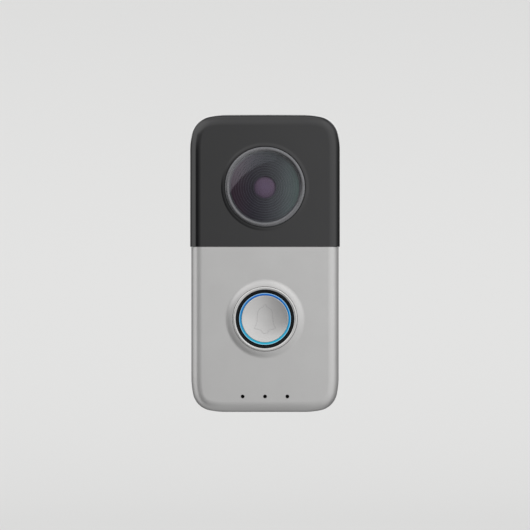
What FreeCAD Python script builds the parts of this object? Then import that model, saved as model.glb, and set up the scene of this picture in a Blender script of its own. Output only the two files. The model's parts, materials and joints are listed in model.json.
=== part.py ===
"""Video doorbell on its wall plate, in millimetres.

Frame: +Z up, +X to the right of a visitor who faces the doorbell, and -Y out of the wall.
The origin is on the wall, at the centre of the wall plate's four screw holes.
Depths are counted from the wall towards the visitor, so a point at depth d has Y = -d.
"""

import FreeCAD, Part
import math
import os
import re

import Sketcher
from FreeCAD import Placement, Rotation, Vector

# alias, value in millimetres, what it is
DIMENSIONS = [
    ("width", 63.2, "overall width, at the camera cover"),
    ("height", 126.0, "overall height"),
    ("corner_length", 15.0, "length of a corner along each side"),
    ("corner_radius", 9.3, "tight middle arc of a corner"),
    ("lead_radius", 34.0, "slack arcs that lead into a corner"),
    ("edge_radius", 4.5, "rounding of the front edges"),
    ("rear_rounding", 0.5, "rounding of the rear edges of the shells and the rear cover"),
    ("face_depth", 26.4, "front face"),
    ("seam_height", 7.25, "seam between the camera cover and the faceplate"),
    ("seam_gap", 0.15, "open seam between the two front shells"),
    ("faceplate_inset", 0.5, "faceplate's side behind the camera cover's side"),
    ("shell_wall", 1.8, "side wall of both front shells"),
    ("shell_front", 2.2, "front wall of both front shells"),
    ("skirt_depth", 13.0, "rear end of the front shells"),
    ("rear_inset", 0.9, "rear cover's side behind the camera cover's side"),
    ("rear_wall", 2.6, "rear cover's side wall"),
    ("rear_start", 0.4, "rear rim of the rear cover, just off the wall"),
    ("rear_end", 12.8, "front rim of the rear cover"),
    ("floor_depth", 6.0, "floor of the recess that takes the wall plate"),
    ("floor_wall", 1.6, "thickness of the rear cover's floor"),
    ("frame_inset", 2.4, "front frame's side behind the camera cover's side"),
    ("frame_wall", 1.6, "walls of the front frame"),
    ("frame_start", 13.3, "rear rim of the front frame"),
    ("frame_face", 24.0, "front face of the front frame"),
    ("plate_wall", 1.8, "wall plate's thickness"),
    ("plate_rib", 1.8, "height of the wall plate's ribs above its plate"),
    ("plate_half", 26.0, "half the wall plate's width"),
    ("plate_top", 59.45, "top edge of the wall plate"),
    ("plate_bottom", -53.4, "bottom edge of the wall plate"),
    ("plate_corner", 8.0, "corner radius of the wall plate"),
    ("panel_pitch", 10.0, "spacing of the hollow panels in the wall plate's back"),
    ("panel_half", 4.2, "half the width of a hollow panel"),
    ("panel_hollow", 0.8, "how deep the hollow panels are"),
    ("hole_x", 17.0, "wall screw holes, from the centre line"),
    ("hole_z", 43.0, "wall screw holes, from the origin"),
    ("hole_radius", 2.2, "wall screw holes"),
    ("lip_height", 5.0, "height of the rear cover's four lips"),
    ("lip_reach", 1.7, "how far a lip stands into the recess"),
    ("lip_wall", 1.5, "thickness of a lip"),
    ("lip_z", 33.0, "middle of the lips, above and below the origin"),
    ("window_half", 16.0, "half the width of the wall plate's wire window"),
    ("window_low", -4.0, "bottom edge of the wire window"),
    ("window_high", 24.0, "top edge of the wire window"),
    ("lock_depth", 3.2, "axis of the security screw"),
    ("lens_z", 32.45, "axis of the camera"),
    ("lens_hole", 17.1, "radius of the camera cover's lens hole"),
    ("lens_lip_radius", 18.5, "outer radius of the low lip round the lens hole"),
    ("lens_lip_rise", 0.2, "height of that lip above the face"),
    ("glass_radius", 15.1, "radius of the lens cover glass"),
    ("glass_apex", 28.0, "foremost point of the lens cover glass"),
    ("glass_edge", 26.5, "front edge of the lens cover glass"),
    ("baffle_inner", 4.9, "radius of the lens baffle's hole"),
    ("baffle_outer", 14.4, "radius of the lens baffle's last step"),
    ("baffle_back", 22.6, "depth of the lens baffle's first step"),
    ("baffle_front", 24.9, "depth of the lens baffle's last step"),
    ("infrared_radius", 23.4, "ring on which the infrared lamps stand"),
    ("button_z", -23.1, "axis of the push button"),
    ("button_hole", 13.7, "radius of the faceplate's button hole"),
    ("rim_crest", 13.1, "radius where the raised rim round the button is highest"),
    ("rim_shoulder", 15.6, "radius where the rim's crown turns into its foot"),
    ("rim_radius", 16.7, "outer radius of the rim's foot"),
    ("rim_rise", 0.77, "height of the rim above the face"),
    ("rim_foot", 0.24, "height of the rim's shoulder above the face"),
    ("well_radius", 12.35, "radius of the dark well round the button"),
    ("ring_outer", 10.85, "outer radius of the light ring"),
    ("ring_inner", 9.95, "inner radius of the light ring"),
    ("ring_front", 27.0, "front of the light ring"),
    ("cap_front", 26.9, "front edge of the button cap"),
    ("trim_front", 27.1, "front of the metal ring round the well"),
    ("dish_sag", 1.0, "hollow of the button cap"),
    ("flat_middle", 0.6, "radius of the small flat in the middle of a dome or a dish"),
    ("led_radius", 10.4, "circle of the button's lamps"),
    ("port_pitch", 9.4, "spacing of the microphone holes"),
    ("port_z", -55.7, "height of the microphone holes"),
    ("port_radius", 0.8, "radius of the microphone holes"),
    ("board_back", 16.4, "rear face of the main board"),
    ("board_front", 17.6, "front face of the main board"),
    ("corner_screw_x", 23.0, "corner housing screws, from the centre line"),
    ("corner_screw_z", 54.0, "corner housing screws, from the origin"),
    ("side_screw_x", 24.8, "side housing screws, from the centre line"),
    ("side_screw_z", 6.0, "side housing screws, from the origin"),
    ("boss_radius", 3.0, "housing screw bosses"),
    ("board_screw_x", 24.0, "main board screws, from the centre line"),
    ("board_screw_low", -46.0, "lower main board screws"),
    ("board_screw_high", 15.5, "upper main board screws"),
    ("camera_screw_x", 18.4, "camera screws, from the camera's axis"),
]
NAMES = [row[0] for row in DIMENSIONS]
FRONT_VIEW, SIDE_VIEW, TOP_VIEW = "XZ_Plane", "YZ_Plane", "XY_Plane"
ALL_DEPTH = "50"

doc = FreeCAD.newDocument("video_doorbell")
sheet = doc.addObject("Spreadsheet::Sheet", "Sizes")
for row, (alias, size, meaning) in enumerate(DIMENSIONS, 1):
    sheet.set(f"A{row}", str(size))
    sheet.setAlias(f"A{row}", alias)
    sheet.set(f"B{row}", meaning)
doc.recompute()

pieces = {}


# ---------------------------------------------------------------- helpers


def cells(text):
    """The formula with each dimension's name pointed at its cell."""
    return re.sub(r"[a-z]+(_[a-z]+)*", lambda m: f"Sizes.{m[0]}" if m[0] in NAMES else m[0], text)


def value(text):
    """What a formula comes to now, in millimetres."""
    return float(sheet.evalExpression(cells(text)))


def bind(thing, **formulas):
    """Binds an object's sizes to formulas over the sheet's cells."""
    for path, text in formulas.items():
        thing.setExpression(path, cells(text))


def place(thing, x="0", depth="0", z="0"):
    """Binds an object's place, given its depth from the wall."""
    for axis, text in (("x", x), ("y", f"-({depth})"), ("z", z)):
        thing.setExpression(f"Placement.Base.{axis}", cells(text))


def keep(name, thing):
    """Makes an object the piece of that name."""
    thing.Label = name
    pieces[name] = thing
    return thing


def new_sketch(body, view, at="0"):
    """A sketch on one of the body's own planes, moved along the plane's normal.

    In the front view the normal points at the visitor, so `at` is a depth.
    """
    sketch = body.newObject("Sketcher::SketchObject", "sketch")
    plane = next(f for f in body.Origin.OriginFeatures if f.Role == view)
    sketch.AttachmentSupport = [(plane, "")]
    sketch.MapMode = "FlatFace"
    sketch.setExpression("AttachmentOffset.Base.z", cells(at))
    return sketch


def arc_between(start, end, radius):
    """The shorter arc from start to end; a positive radius turns anticlockwise."""
    chord = end - start
    rise = math.sqrt(max(radius**2 - (chord.Length / 2) ** 2, 0.0))
    normal = Vector(-chord.y, chord.x, 0).normalize()
    side = 1 if radius > 0 else -1
    centre = (start + end) * 0.5 + normal * rise * side
    middle = centre - normal * abs(radius) * side
    return Part.Arc(start, middle, end)


def pin_point(sketch, piece, corner, x, y):
    """Fixes one end of a sketch line at formulas x and y."""
    for kind, axis, text in (("DistanceX", -2, x), ("DistanceY", -1, y)):
        if text == "0":
            sketch.addConstraint(Sketcher.Constraint("PointOnObject", piece, corner, axis))
        else:
            rule = Sketcher.Constraint(kind, -1, 1, piece, corner, value(text))
            index = sketch.addConstraint(rule)
            sketch.setExpression(f"Constraints[{index}]", cells(text))


def loop(sketch, corners):
    """Adds a closed loop. A corner is (x, y), or (x, y, radius) where an arc leads to it."""
    first = sketch.GeometryCount
    points = [Vector(value(c[0]), value(c[1]), 0) for c in corners]
    for i, corner in enumerate(corners):
        start, end = points[i - 1], points[i]
        if len(corner) == 3:
            sketch.addGeometry(arc_between(start, end, value(corner[2])))
        else:
            sketch.addGeometry(Part.LineSegment(start, end))
    count = len(corners)
    for i, corner in enumerate(corners):
        here, after = first + i, first + (i + 1) % count
        # an anticlockwise arc starts where the run starts; a clockwise one ends there
        end = 1 if len(corner) == 3 and value(corner[2]) < 0 else 2
        next_corner = corners[(i + 1) % count]
        start = 2 if len(next_corner) == 3 and value(next_corner[2]) < 0 else 1
        sketch.addConstraint(Sketcher.Constraint("Coincident", here, end, after, start))
        pin_point(sketch, here, end, corner[0], corner[1])
        if len(corner) == 3:
            radius = corner[2].lstrip("-")
            rule = Sketcher.Constraint("Radius", here, value(radius))
            index = sketch.addConstraint(rule)
            sketch.setExpression(f"Constraints[{index}]", cells(radius))
    return sketch


def rectangle(sketch, left, right, low, high):
    """Adds a rectangle."""
    return loop(sketch, [(left, low), (right, low), (right, high), (left, high)])


def round_rectangle(sketch, left, right, low, high, radius):
    """Adds a rectangle with round corners."""
    return loop(
        sketch,
        [
            (f"{left} + {radius}", low, radius),
            (f"{right} - {radius}", low),
            (right, f"{low} + {radius}", radius),
            (right, f"{high} - {radius}"),
            (f"{right} - {radius}", high, radius),
            (f"{left} + {radius}", high),
            (left, f"{high} - {radius}", radius),
            (left, f"{low} + {radius}"),
        ],
    )


def circles(sketch, centres, radius):
    """Adds equal circles at (x, y) formulas."""
    for x, y in centres:
        circle = Part.Circle(Vector(value(x), value(y), 0), Vector(0, 0, 1), value(radius))
        index = sketch.addGeometry(circle)
        pin_point(sketch, index, 3, x, y)
        rule = sketch.addConstraint(Sketcher.Constraint("Radius", index, value(radius)))
        sketch.setExpression(f"Constraints[{rule}]", cells(radius))
    return sketch


def lead_turn():
    """Angle, in radians, that a corner's slack arc turns before the tight arc begins."""
    length, tight, slack = value("corner_length"), value("corner_radius"), value("lead_radius")
    low, high = 0.0, math.pi / 4
    for _ in range(60):
        turn = (low + high) / 2
        reach = slack * math.sin(turn) + slack * (1 - math.cos(turn))
        reach += tight * (math.cos(turn) - math.sin(turn))
        low, high = (turn, high) if reach < length else (low, turn)
    return turn


def soft_outline(sketch, inset):
    """Adds the doorbell's outline, moved inwards: straight sides, and corners of three tangent arcs."""
    turn = lead_turn()
    slack, tight = f"(lead_radius - {inset})", f"(corner_radius - {inset})"
    shift = value(slack) * math.sin(turn), value(slack) * (1 - math.cos(turn))
    half_x, half_z = f"width / 2 - {inset}", f"height / 2 - {inset}"
    edge_x, edge_z = "width / 2 - corner_length", "height / 2 - corner_length"
    reach, drop = value(edge_x) + shift[0], value(half_z) - shift[1]
    inner, rise = value(half_x) - shift[1], value(edge_z) + shift[0]
    quarter = [
        (value(edge_x), value(half_z)),
        (reach, drop),
        (inner, rise),
        (value(half_x), value(edge_z)),
    ]
    quarters = [
        [(x, z) for x, z in reversed(quarter)],
        [(-x, z) for x, z in quarter],
        [(-x, -z) for x, z in reversed(quarter)],
        [(x, -z) for x, z in quarter],
    ]
    first = sketch.GeometryCount
    radii = (slack, tight, slack)
    points = [Vector(x, z, 0) for q in quarters for x, z in q]
    kinds = [text for _ in quarters for text in (*radii, None)]
    for i, kind in enumerate(kinds):
        start, end = points[i], points[(i + 1) % len(points)]
        if kind is None:
            sketch.addGeometry(Part.LineSegment(start, end))
        else:
            sketch.addGeometry(arc_between(start, end, value(kind)))
    for i, kind in enumerate(kinds):
        here, after = first + i, first + (i + 1) % len(kinds)
        sketch.addConstraint(Sketcher.Constraint("Tangent", here, 2, after, 1))
        if kind:
            rule = Sketcher.Constraint("Radius", here, value(kind))
            index = sketch.addConstraint(rule)
            sketch.setExpression(f"Constraints[{index}]", cells(kind))
    ends = {
        3: ((edge_x, half_z), (f"-({edge_x})", half_z)),
        7: ((f"-({half_x})", edge_z), (f"-({half_x})", f"-({edge_z})")),
        11: ((f"-({edge_x})", f"-({half_z})"), (edge_x, f"-({half_z})")),
        15: ((half_x, f"-({edge_z})"), (half_x, edge_z)),
    }
    for line, (start, end) in ends.items():
        pin_point(sketch, first + line, 1, *start)
        pin_point(sketch, first + line, 2, *end)
    return sketch


def pad(body, sketch, length):
    """Adds material from the sketch along its normal."""
    feature = body.newObject("PartDesign::Pad", "pad")
    feature.Profile = sketch
    bind(feature, Length=length)
    doc.recompute()
    return feature


def pocket(body, sketch, length):
    """Removes material behind the sketch, against its normal."""
    feature = body.newObject("PartDesign::Pocket", "pocket")
    feature.Profile = sketch
    before = feature.BaseFeature.Shape.Volume
    bind(feature, Length=length)
    doc.recompute()
    if feature.Shape.Volume > before - 1e-3:
        raise RuntimeError(f"a pocket in {body.Label} cuts nothing")
    return feature


def revolve(body, sketch, axis=None):
    """Turns a side-view sketch about the body's own Y axis, or about a line of the sketch."""
    feature = body.newObject("PartDesign::Revolution", "revolution")
    feature.Profile = sketch
    feature.ReferenceAxis = axis or (sketch, ["H_Axis"])
    feature.Angle = 360
    doc.recompute()
    return feature


def round_edges(body, depth, radius):
    """Rounds every edge of the body's tip that lies at one depth."""
    shape = body.Tip.Shape
    level = -value(depth)
    chosen = [
        f"Edge{i}"
        for i, edge in enumerate(shape.Edges, 1)
        if abs(edge.BoundBox.YMin - level) < 1e-4 and abs(edge.BoundBox.YMax - level) < 1e-4
    ]
    feature = body.newObject("PartDesign::Fillet", "fillet")
    feature.Base = (feature.BaseFeature, chosen)
    bind(feature, Radius=radius)
    doc.recompute()
    return feature


def new_body(name):
    """An empty body that is the piece of that name."""
    return keep(name, doc.addObject("PartDesign::Body", name))


def turned(name, z, corners):
    """A round piece about the camera's or the button's axis, from (depth, radius) corners."""
    body = new_body(name)
    body.setExpression("Placement.Base.z", cells(z))
    sketch = new_sketch(body, SIDE_VIEW)
    loop(sketch, [(f"-({c[0]})" if c[0] != "0" else "0", *c[1:]) for c in corners])
    revolve(body, sketch)
    return body


def dome(rim, sag):
    """Formula for the radius of a dome with that rim radius and height."""
    return f"(({rim}) * ({rim}) / (2 * ({sag})) + ({sag}) / 2)"


def box(left, right, low, high, back, front):
    """A Part box between two values of x, of z and of depth."""
    thing = doc.addObject("Part::Box", "box")
    bind(
        thing,
        Length=f"({right}) - ({left})",
        Width=f"({front}) - ({back})",
        Height=f"({high}) - ({low})",
    )
    place(thing, left, front, low)
    return thing


def square(x, z, half, back, front, half_z=None):
    """A Part box centred on x and z."""
    tall = half_z or half
    return box(f"{x} - {half}", f"{x} + {half}", f"{z} - {tall}", f"{z} + {tall}", back, front)


def rod(x, z, radius, back, front):
    """A Part cylinder that points out of the wall."""
    thing = doc.addObject("Part::Cylinder", "rod")
    thing.Placement = Placement(Vector(), Rotation(Vector(1, 0, 0), 90))
    bind(thing, Radius=radius, Height=f"({front}) - ({back})")
    place(thing, x, back, z)
    return thing


def upright(x, depth, radius, low, high):
    """A Part cylinder that stands along Z."""
    thing = doc.addObject("Part::Cylinder", "upright")
    bind(thing, Radius=radius, Height=f"({high}) - ({low})")
    place(thing, x, depth, low)
    return thing


def cut(base, *tools):
    """base with the tools taken out."""
    result = doc.addObject("Part::Cut", "cut")
    result.Base = base
    result.Tool = tools[0] if len(tools) == 1 else together(*tools)
    return result


def together(*shapes):
    """One solid out of several that touch."""
    result = doc.addObject("Part::MultiFuse", "fuse")
    result.Shapes = list(shapes)
    return result


def group(*shapes):
    """Several separate solids in one node."""
    result = doc.addObject("Part::Compound", "group")
    result.Links = list(shapes)
    return result


def rounded(thing, radius, chooser):
    """A Part fillet on the edges that chooser picks."""
    doc.recompute()
    result = doc.addObject("Part::Fillet", "fillet")
    result.Base = thing
    edges = [i for i, edge in enumerate(thing.Shape.Edges, 1) if chooser(edge)]
    result.Edges = [(i, radius, radius) for i in edges]
    return result


def along(direction):
    """Picks straight edges that run along a direction."""
    return lambda edge: abs(edge.tangentAt(edge.FirstParameter).dot(direction)) > 0.99


def screw(x, z, shank, head, seat, head_depth, tip):
    """A countersunk-flat screw pointing out of the wall: its head ends at depth seat."""
    recess = square(x, z, f"{head} * 0.12", head_depth, f"({head_depth}) + 0.6", f"{head} * 0.55")
    cross = square(x, z, f"{head} * 0.55", head_depth, f"({head_depth}) + 0.6", f"{head} * 0.12")
    body = together(rod(x, z, head, head_depth, seat), rod(x, z, shank, seat, tip))
    return cut(body, recess, cross)


def ring_points(count, radius, z, start="0"):
    """Centres evenly spaced round a circle, as formulas."""
    step = 360 / count
    angles = [f"({start} + {i * step:g})" for i in range(count)]
    return [(f"{radius} * cos({a} * 1deg)", f"{z} + {radius} * sin({a} * 1deg)") for a in angles]


HOUSING_SCREWS = [
    *[(f"{sx}corner_screw_x", f"{sz}corner_screw_z") for sx in ("", "-") for sz in ("", "-")],
    *[(f"{sx}side_screw_x", "side_screw_z") for sx in ("", "-")],
]
BOARD_SCREWS = [
    (f"{sx}board_screw_x", f"board_screw_{level}") for sx in ("", "-") for level in ("low", "high")
]
CAMERA_SCREWS = [(f"{sx}camera_screw_x", "lens_z") for sx in ("", "-")]
TERMINALS = [(f"{sx}11.5", "7.5") for sx in ("", "-")]
PORTS = [(f"{k} * port_pitch" if k else "0", "port_z") for k in (-1, 0, 1)]
INFRARED_LAMPS = ring_points(6, "infrared_radius", "lens_z")
# height of each row of hollow panels, and its columns counted from the centre line
PANELS = [
    ("51", (-0.5, 0.5)),
    ("41", (-0.5, 0.5)),
    ("31", (-1.5, -0.5, 0.5, 1.5)),
    *[(f"({height})", (-1.5, -0.5, 0.5, 1.5)) for height in (-11, -21, -31)],
    ("(-41)", (-0.5, 0.5)),
]


# ---------------------------------------------------------------- wall plate and rear cover


def wall_plate():
    """Flat bracket that is screwed to the wall. Four tabs hold the doorbell's lips."""
    body = new_body("wall_plate")
    edge = ("-plate_half", "plate_half", "plate_bottom", "plate_top", "plate_corner")
    pad(body, round_rectangle(new_sketch(body, FRONT_VIEW), *edge), "plate_wall")
    rib = new_sketch(body, FRONT_VIEW, "plate_wall")
    round_rectangle(rib, *edge)
    inner = [f"{sign}(plate_half - 1.8)" for sign in ("-", "")]
    round_rectangle(rib, *inner, "plate_bottom + 1.8", "plate_top - 1.8", "(plate_corner - 1.8)")
    pad(body, rib, "plate_rib")
    holes = [(f"{sx}hole_x", f"{sz}hole_z") for sx in ("", "-") for sz in ("", "-")]
    bosses = circles(new_sketch(body, FRONT_VIEW), holes, "5")
    pad(body, bosses, "plate_wall + plate_rib")
    tabs = new_sketch(body, FRONT_VIEW, "rear_start + lip_wall + 0.2")
    for low in ("lip_z - lip_height / 2", "-lip_z - lip_height / 2"):
        rectangle(tabs, "plate_half - 1.9", "plate_half + 1.6", low, f"{low} + lip_height")
        rectangle(tabs, "-plate_half - 1.6", "1.9 - plate_half", low, f"{low} + lip_height")
    pad(body, tabs, "plate_wall + plate_rib - rear_start - lip_wall - 0.2")
    for z, columns in PANELS:
        panels = new_sketch(body, FRONT_VIEW, "panel_hollow")
        for k in columns:
            x = f"{k} * panel_pitch"
            low, high = f"{z} - panel_half", f"{z} + panel_half"
            round_rectangle(panels, f"{x} - panel_half", f"{x} + panel_half", low, high, "1.4")
        pocket(body, panels, "panel_hollow + 1")
    frame = new_sketch(body, FRONT_VIEW, "plate_wall")
    round_rectangle(
        frame, "-window_half - 1.6", "window_half + 1.6", "window_low - 1.6", "window_high + 1.6", "4"
    )
    pad(body, frame, "plate_rib")
    window = new_sketch(body, FRONT_VIEW, "6")
    round_rectangle(window, "-window_half", "window_half", "window_low", "window_high", "3")
    pocket(body, window, "8")
    notch = rectangle(new_sketch(body, FRONT_VIEW, "6"), "-6", "6", "plate_bottom - 1", "-50.5")
    pocket(body, notch, "8")
    keeper = rectangle(new_sketch(body, FRONT_VIEW), "-4", "4", "-50.5", "-44.5")
    pad(body, keeper, "floor_depth - 0.4")
    bore = circles(new_sketch(body, TOP_VIEW, "-43"), [("0", "-lock_depth")], "1.5")
    pocket(body, bore, "9")
    pocket(body, circles(new_sketch(body, FRONT_VIEW, "6"), holes, "hole_radius"), "8")
    mouths = [
        f"Edge{i}"
        for i, edge in enumerate(body.Tip.Shape.Edges, 1)
        if abs(edge.BoundBox.YMax - edge.BoundBox.YMin) < 1e-6
        and abs(edge.BoundBox.YMin + value("plate_wall + plate_rib")) < 1e-4
        and abs(edge.BoundBox.XLength - value("2 * hole_radius")) < 1e-4
    ]
    sink = body.newObject("PartDesign::Chamfer", "countersink")
    sink.Base = (sink.BaseFeature, mouths)
    sink.Size = 1.9
    doc.recompute()


def rear_cover():
    """Black tray at the back: a recess for the wall plate behind it, the works in front."""
    body = new_body("rear_cover")
    inner = "(rear_inset + rear_wall)"
    floor_front = "(floor_depth + floor_wall)"
    outline = soft_outline(new_sketch(body, FRONT_VIEW, "rear_start"), "rear_inset")
    pad(body, outline, "rear_end - rear_start")
    round_edges(body, "rear_start", "rear_rounding")
    front_room = soft_outline(new_sketch(body, FRONT_VIEW, "rear_end"), inner)
    pocket(body, front_room, f"rear_end - {floor_front}")
    recess = soft_outline(new_sketch(body, FRONT_VIEW, "floor_depth"), inner)
    pocket(body, recess, "floor_depth")
    lips = new_sketch(body, FRONT_VIEW, "rear_start")
    wall = f"(width / 2 - {inner})"
    for low in ("lip_z - lip_height / 2", "-lip_z - lip_height / 2"):
        high = f"{low} + lip_height"
        rectangle(lips, f"{wall} - lip_reach", f"{wall} + 0.5", low, high)
        rectangle(lips, f"-{wall} - 0.5", f"lip_reach - {wall}", low, high)
    pad(body, lips, "lip_wall")
    bosses = circles(new_sketch(body, FRONT_VIEW, floor_front), HOUSING_SCREWS, "boss_radius")
    pad(body, bosses, f"rear_end - {floor_front}")
    pocket(body, circles(new_sketch(body, FRONT_VIEW, "14"), HOUSING_SCREWS, "1.3"), "10")
    seats = circles(new_sketch(body, FRONT_VIEW, "floor_depth + 1.3"), HOUSING_SCREWS, "2.5")
    pocket(body, seats, "2")
    lock = rectangle(new_sketch(body, FRONT_VIEW, "0.6"), "-4.5", "4.5", "-60.5", "-57")
    pad(body, lock, "floor_depth")
    lock_axis = [("0", "-lock_depth")]
    for radius, top, length in (("1.4", "-56", "8"), ("2.05", "-56", "4"), ("2.35", "-60.4", "3")):
        pocket(body, circles(new_sketch(body, TOP_VIEW, top), lock_axis, radius), length)
    through = new_sketch(body, FRONT_VIEW, "10")
    circles(through, TERMINALS, "3.1")
    circles(through, [("0", "11.5")], "2.5")
    round_rectangle(through, "-4.9", "4.9", "2", "6", "1")
    pocket(body, through, "6")
    slots = new_sketch(body, TOP_VIEW, "-59")
    for k in range(-3, 4):
        x = f"{k} * 3.6"
        round_rectangle(slots, f"{x} - 0.8", f"{x} + 0.8", "-12", "-9", "0.7")
    pocket(body, slots, "5")


def security_lock():
    """Screw from below: its plain tip stands in the wall plate's keeper and traps the doorbell."""
    depth = "lock_depth"
    head, seat = "(0.1 + rear_inset - height / 2)", "-60.45"
    blank = together(
        upright("0", depth, "2.2", head, seat),
        upright("0", depth, "1.25", seat, "-51"),
        upright("0", depth, "1.1", "-51", "-47.5"),
    )
    socket = upright("0", depth, "1.1", f"{head} - 1", f"{head} + 1")
    post = upright("0", depth, "0.4", head, f"{head} + 1")
    keep("security_screw", together(cut(blank, socket), post))
    insert = cut(upright("0", depth, "2", "-59.9", "-57.1"), upright("0", depth, "1.3", "-61", "-56"))
    keep("security_insert", insert)


def housing_fasteners():
    """Six screws from the recess into the front frame, and the seal that they squeeze."""
    heads = [
        screw(x, z, "1.15", "2.2", "floor_depth + 1.25", "floor_depth + 0.1", "20.3")
        for x, z in HOUSING_SCREWS
    ]
    keep("housing_screws", group(*heads))
    body = new_body("housing_seal")
    ring = soft_outline(new_sketch(body, FRONT_VIEW, "rear_end"), "frame_inset")
    soft_outline(ring, "(frame_inset + 1)")
    pad(body, ring, "frame_start - rear_end")


# ---------------------------------------------------------------- front frame and shells


def front_frame():
    """Hidden inner tray that carries the camera, the boards and the button."""
    body = new_body("front_frame")
    inside = "(frame_face - frame_wall)"
    outline = soft_outline(new_sketch(body, FRONT_VIEW, "frame_start"), "frame_inset")
    pad(body, outline, "frame_face - frame_start")
    room = soft_outline(new_sketch(body, FRONT_VIEW, inside), "(frame_inset + frame_wall)")
    pocket(body, room, f"{inside} - frame_start")
    posts = (
        (HOUSING_SCREWS, "boss_radius", "frame_start", "1.2", "20.5"),
        (BOARD_SCREWS, "2", "board_front", "0.85", "21.5"),
        (CAMERA_SCREWS, "2.2", "14.6", "0.95", "20.5"),
    )
    for centres, radius, start, _, _ in posts:
        columns = circles(new_sketch(body, FRONT_VIEW, start), centres, radius)
        pad(body, columns, f"{inside} + 0.2 - {start}")
    for centres, _, start, pilot, end in posts:
        pocket(body, circles(new_sketch(body, FRONT_VIEW, end), centres, pilot), f"{end} - {start}")
    lens_axis, button_axis = [("0", "lens_z")], [("0", "button_z")]
    guide = circles(new_sketch(body, FRONT_VIEW, "20"), button_axis, "12.9")
    pad(body, guide, f"{inside} + 0.2 - 20")
    openings = (
        (lens_axis, "14.6", "frame_face + 1", "4"),
        (lens_axis, "15.6", "frame_face + 1", "2.1"),
        (button_axis, "ring_outer + 0.3", "frame_face + 1", "6"),
        (INFRARED_LAMPS, "2.2", "frame_face + 1", "4"),
        ([("0", "lens_z + infrared_radius")], "1.6", "frame_face + 1", "4"),
        (PORTS, "1", "frame_face + 1", "4"),
    )
    for centres, radius, start, length in openings:
        pocket(body, circles(new_sketch(body, FRONT_VIEW, start), centres, radius), length)


def front_shell(name, inset):
    """The hollow outer shell, before it is cut at the seam."""
    body = new_body(name)
    outline = soft_outline(new_sketch(body, FRONT_VIEW, "skirt_depth"), inset)
    pad(body, outline, "face_depth - skirt_depth")
    round_edges(body, "face_depth", "edge_radius")
    round_edges(body, "skirt_depth", "rear_rounding")
    back_of_face = "(face_depth - shell_front)"
    room = soft_outline(new_sketch(body, FRONT_VIEW, back_of_face), f"({inset} + shell_wall)")
    pocket(body, room, f"{back_of_face} - skirt_depth")
    return body


def raised_lip(body, z, profile):
    """Adds a raised ring to a front shell, from a (depth, radius) profile about a depth axis."""
    sketch = new_sketch(body, SIDE_VIEW)
    loop(sketch, [(f"-({c[0]})", f"{z} + {c[1]}", *c[2:]) for c in profile])
    axis = Part.LineSegment(Vector(0, value(z), 0), Vector(-30, value(z), 0))
    line = sketch.addGeometry(axis, True)
    sketch.addConstraint(Sketcher.Constraint("Horizontal", line))
    pin_point(sketch, line, 1, "0", z)
    revolve(body, sketch, (sketch, ["Axis0"]))


def camera_cover():
    """Dark upper shell, clear to infrared, with a low lip round the lens hole."""
    body = front_shell("camera_cover", "0")
    low = "seam_height + seam_gap / 2"
    below = rectangle(new_sketch(body, FRONT_VIEW, "30"), "-40", "40", "-70", low)
    pocket(body, below, ALL_DEPTH)
    root = "face_depth - 0.4"
    lip = [
        (root, "(lens_hole - 0.4)"),
        ("face_depth + lens_lip_rise", "(lens_hole - 0.4)"),
        ("face_depth + lens_lip_rise", "lens_hole"),
        ("face_depth", "lens_lip_radius", "-" + dome("lens_lip_radius - lens_hole", "lens_lip_rise")),
        (root, "lens_lip_radius"),
    ]
    raised_lip(body, "lens_z", lip)
    hole = circles(new_sketch(body, FRONT_VIEW, "30"), [("0", "lens_z")], "lens_hole")
    pocket(body, hole, ALL_DEPTH)


def faceplate():
    """Silver lower shell: a raised rim round the button and three microphone holes."""
    body = front_shell("faceplate", "faceplate_inset")
    high = "seam_height - seam_gap / 2"
    above = rectangle(new_sketch(body, FRONT_VIEW, "30"), "-40", "40", high, "70")
    pocket(body, above, ALL_DEPTH)
    root = "face_depth - 0.4"
    crown = dome("rim_shoulder - rim_crest", "rim_rise - rim_foot")
    rim = [
        (root, "rim_crest"),
        ("face_depth + rim_rise", "rim_crest"),
        ("face_depth + rim_foot", "rim_shoulder", "-" + crown),
        ("face_depth", "rim_radius", dome("rim_radius - rim_shoulder", "rim_foot")),
        (root, "rim_radius"),
    ]
    raised_lip(body, "button_z", rim)
    hole = circles(new_sketch(body, FRONT_VIEW, "30"), [("0", "button_z")], "button_hole")
    pocket(body, hole, ALL_DEPTH)
    pocket(body, circles(new_sketch(body, FRONT_VIEW, "30"), PORTS, "port_radius"), "8")


def tapes():
    """Thin adhesive sheets that hold the two front shells on the frame."""
    upper = new_body("camera_cover_tape")
    sheet_upper = new_sketch(upper, FRONT_VIEW, "frame_face")
    round_rectangle(sheet_upper, "-25.5", "25.5", "seam_height + 1.5", "57.5", "6")
    circles(sheet_upper, [("0", "lens_z")], "lens_hole + 0.4")
    circles(sheet_upper, INFRARED_LAMPS, "2")
    pad(upper, sheet_upper, "face_depth - shell_front - frame_face")
    lower = new_body("faceplate_tape")
    sheet_lower = new_sketch(lower, FRONT_VIEW, "frame_face")
    round_rectangle(sheet_lower, "-25.5", "25.5", "-52", "seam_height - 1.5", "3")
    circles(sheet_lower, [("0", "button_z")], "button_hole + 0.4")
    pad(lower, sheet_lower, "face_depth - shell_front - frame_face")


# ---------------------------------------------------------------- camera


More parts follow.
